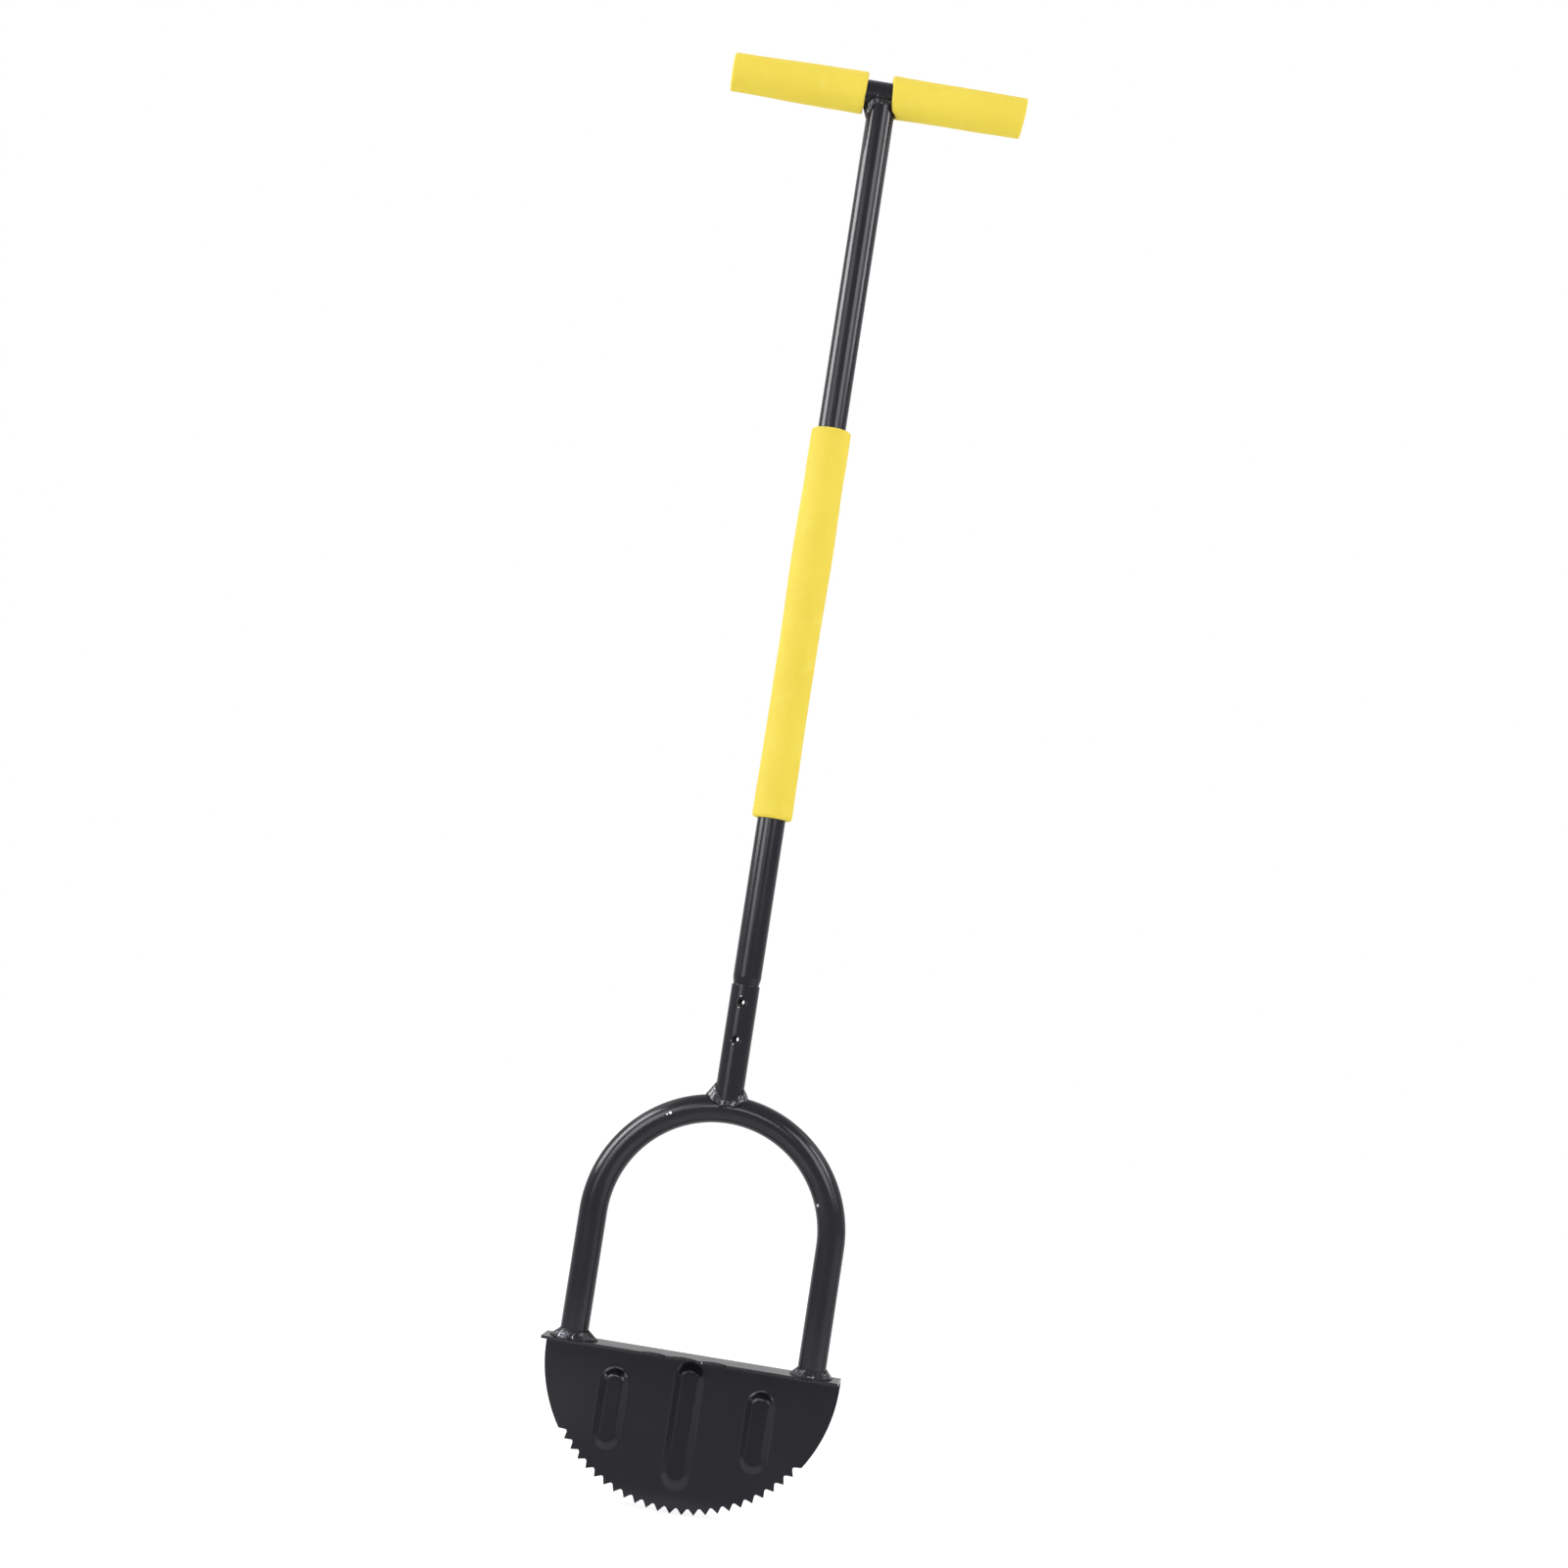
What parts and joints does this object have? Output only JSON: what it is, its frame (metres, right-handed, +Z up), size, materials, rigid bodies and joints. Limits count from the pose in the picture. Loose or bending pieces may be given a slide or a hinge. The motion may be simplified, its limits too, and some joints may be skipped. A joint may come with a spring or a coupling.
{
  "type": "half moon edger",
  "caption": "Half moon lawn edger: serrated half-disc blade with a folded foot step, bent tube yoke, and a plug-in shaft with foam-gripped T handle.",
  "frame": {"origin": "on the shaft axis, at the height of the lowest tooth tip, where the blade meets the turf", "axes": "+Z up along the shaft, +X to the right along the blade, -Y to the front, the side of the foot step; the T handle is welded about 7.5 degrees out of line with the blade"},
  "size_m": [0.2184, 0.0574, 1.0375],
  "materials": {
    "black_paint": "satin black powder coat",
    "weld_paint": "satin black powder coat over rippled weld beads, silvery where it is thin",
    "yellow_foam": "matte closed-cell foam, fine skin"
  },
  "bodies": {
    "head": {"blade": "black_paint", "yoke_tube": "black_paint", "left_foot_weld": "weld_paint", "right_foot_weld": "weld_paint", "socket_tube": "black_paint", "socket_weld": "weld_paint"},
    "handle": {"shaft_tube": "black_paint", "cross_tube": "black_paint", "cross_tube_weld": "weld_paint", "left_hand_grip": "yellow_foam", "right_hand_grip": "yellow_foam", "shaft_grip": "yellow_foam"}
  },
  "joints": [
    {"name": "shaft_draw", "type": "slide", "parent": "head", "child": "handle", "axis": [0, 0, 1], "range_m": [0, 0.055]}
  ]
}
